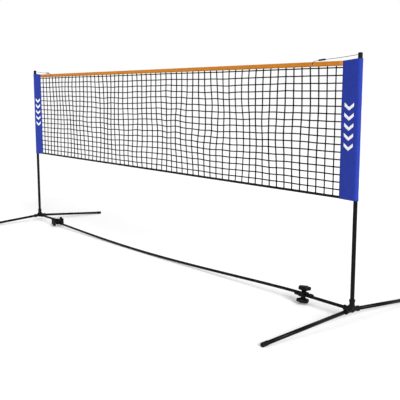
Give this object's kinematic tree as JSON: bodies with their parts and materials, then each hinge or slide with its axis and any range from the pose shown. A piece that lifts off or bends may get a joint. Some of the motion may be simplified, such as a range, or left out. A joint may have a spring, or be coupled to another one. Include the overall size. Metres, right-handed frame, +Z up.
{
  "type": "portable badminton net",
  "caption": "Freestanding portable badminton net: telescopic poles in fabric sleeves on splayed feet, knotted net with top tape, and a bowed floor bar held by star-knob clamps.",
  "frame": {"origin": "on the floor, under the middle of the net", "axes": "+X along the net towards the right pole, +Y towards the back feet, +Z up"},
  "size_m": [4.141, 1.4432, 1.535],
  "materials": {
    "black_tube": "satin black powder coat on steel tube",
    "black_plastic": "moulded black plastic, fine grain",
    "bare_steel": "zinc-plated steel",
    "blue_fabric": "royal blue woven polyester",
    "orange_fabric": "orange woven tape",
    "net_twine": "black knotted twine",
    "black_webbing": "black woven webbing",
    "cord": "dark braided cord"
  },
  "bodies": {
    "floor_frame": {"base_connector_left": "black_plastic", "foot_tube_front_left": "black_tube", "foot_cap_front_left": "black_plastic", "foot_tube_back_left": "black_tube", "foot_cap_back_left": "black_plastic", "lower_pole_left": "black_tube", "pole_bush_left": "black_plastic", "stub_tube_left": "black_tube", "stub_cup_left": "black_plastic", "bar_cup_left": "black_plastic", "clamp_stud_left": "bare_steel", "clamp_jaw_upper_left": "black_plastic", "clamp_jaw_lower_left": "black_plastic", "base_connector_right": "black_plastic", "foot_tube_front_right": "black_tube", "foot_cap_front_right": "black_plastic", "foot_tube_back_right": "black_tube", "foot_cap_back_right": "black_plastic", "lower_pole_right": "black_tube", "pole_bush_right": "black_plastic", "stub_tube_right": "black_tube", "stub_cup_right": "black_plastic", "bar_cup_right": "black_plastic", "clamp_stud_right": "bare_steel", "clamp_jaw_upper_right": "black_plastic", "clamp_jaw_lower_right": "black_plastic", "floor_bar_1": "black_tube", "floor_bar_2": "black_tube", "floor_bar_3": "black_tube", "floor_bar_4": "black_tube", "floor_bar_5": "black_tube", "bar_spigot_1": "bare_steel", "bar_spigot_2": "bare_steel", "bar_spigot_3": "bare_steel", "bar_spigot_4": "bare_steel"},
    "net_carrier": {"top_tape": "orange_fabric", "net_mesh": "net_twine", "bottom_band": "black_webbing", "upper_pole_left": "black_tube", "pole_cap_left": "black_plastic", "tension_cord_left": "cord", "cord_lock_left": "black_plastic", "cord_hook_left": "black_tube", "pole_sleeve_left": "blue_fabric", "upper_pole_right": "black_tube", "pole_cap_right": "black_plastic", "tension_cord_right": "cord", "cord_lock_right": "black_plastic", "cord_hook_right": "black_tube", "pole_sleeve_right": "blue_fabric"},
    "height_button_left": {"snap_button_left": "bare_steel", "button_spring_left": "bare_steel"},
    "knob_upper_left": {"star_knob_upper_left": "black_plastic"},
    "knob_lower_left": {"star_knob_lower_left": "black_plastic"},
    "height_button_right": {"snap_button_right": "bare_steel", "button_spring_right": "bare_steel"},
    "knob_upper_right": {"star_knob_upper_right": "black_plastic"},
    "knob_lower_right": {"star_knob_lower_right": "black_plastic"}
  },
  "joints": [
    {"name": "net_height", "type": "slide", "parent": "floor_frame", "child": "net_carrier", "axis": [0, 0, 1], "range_m": [-0.48, 0], "deforming": ["snap_button_left", "snap_button_right"]},
    {"name": "button_press_left", "type": "slide", "parent": "net_carrier", "child": "height_button_left", "axis": [0, -1, 0], "range_m": [0, 0.003], "stiffness_N_per_m": 900, "springref_m": -0.001},
    {"name": "knob_upper_left_turn", "type": "hinge", "parent": "floor_frame", "child": "knob_upper_left", "pos_m": [-1.655, 0, 0.0515], "axis": [0, 1, 0], "range_deg": [0, 1080]},
    {"name": "knob_lower_left_turn", "type": "hinge", "parent": "floor_frame", "child": "knob_lower_left", "pos_m": [-1.655, 0, 0.0515], "axis": [0, -1, 0], "range_deg": [0, 1080]},
    {"name": "button_press_right", "type": "slide", "parent": "net_carrier", "child": "height_button_right", "axis": [0, -1, 0], "range_m": [0, 0.003], "stiffness_N_per_m": 900, "springref_m": -0.001},
    {"name": "knob_upper_right_turn", "type": "hinge", "parent": "floor_frame", "child": "knob_upper_right", "pos_m": [1.655, 0.01337, 0.06312], "axis": [0, 0.1392, 0.9903], "range_deg": [0, 1080]},
    {"name": "knob_lower_right_turn", "type": "hinge", "parent": "floor_frame", "child": "knob_lower_right", "pos_m": [1.655, 0.01337, 0.06312], "axis": [0, -0.1392, -0.9903], "range_deg": [0, 1080]}
  ]
}
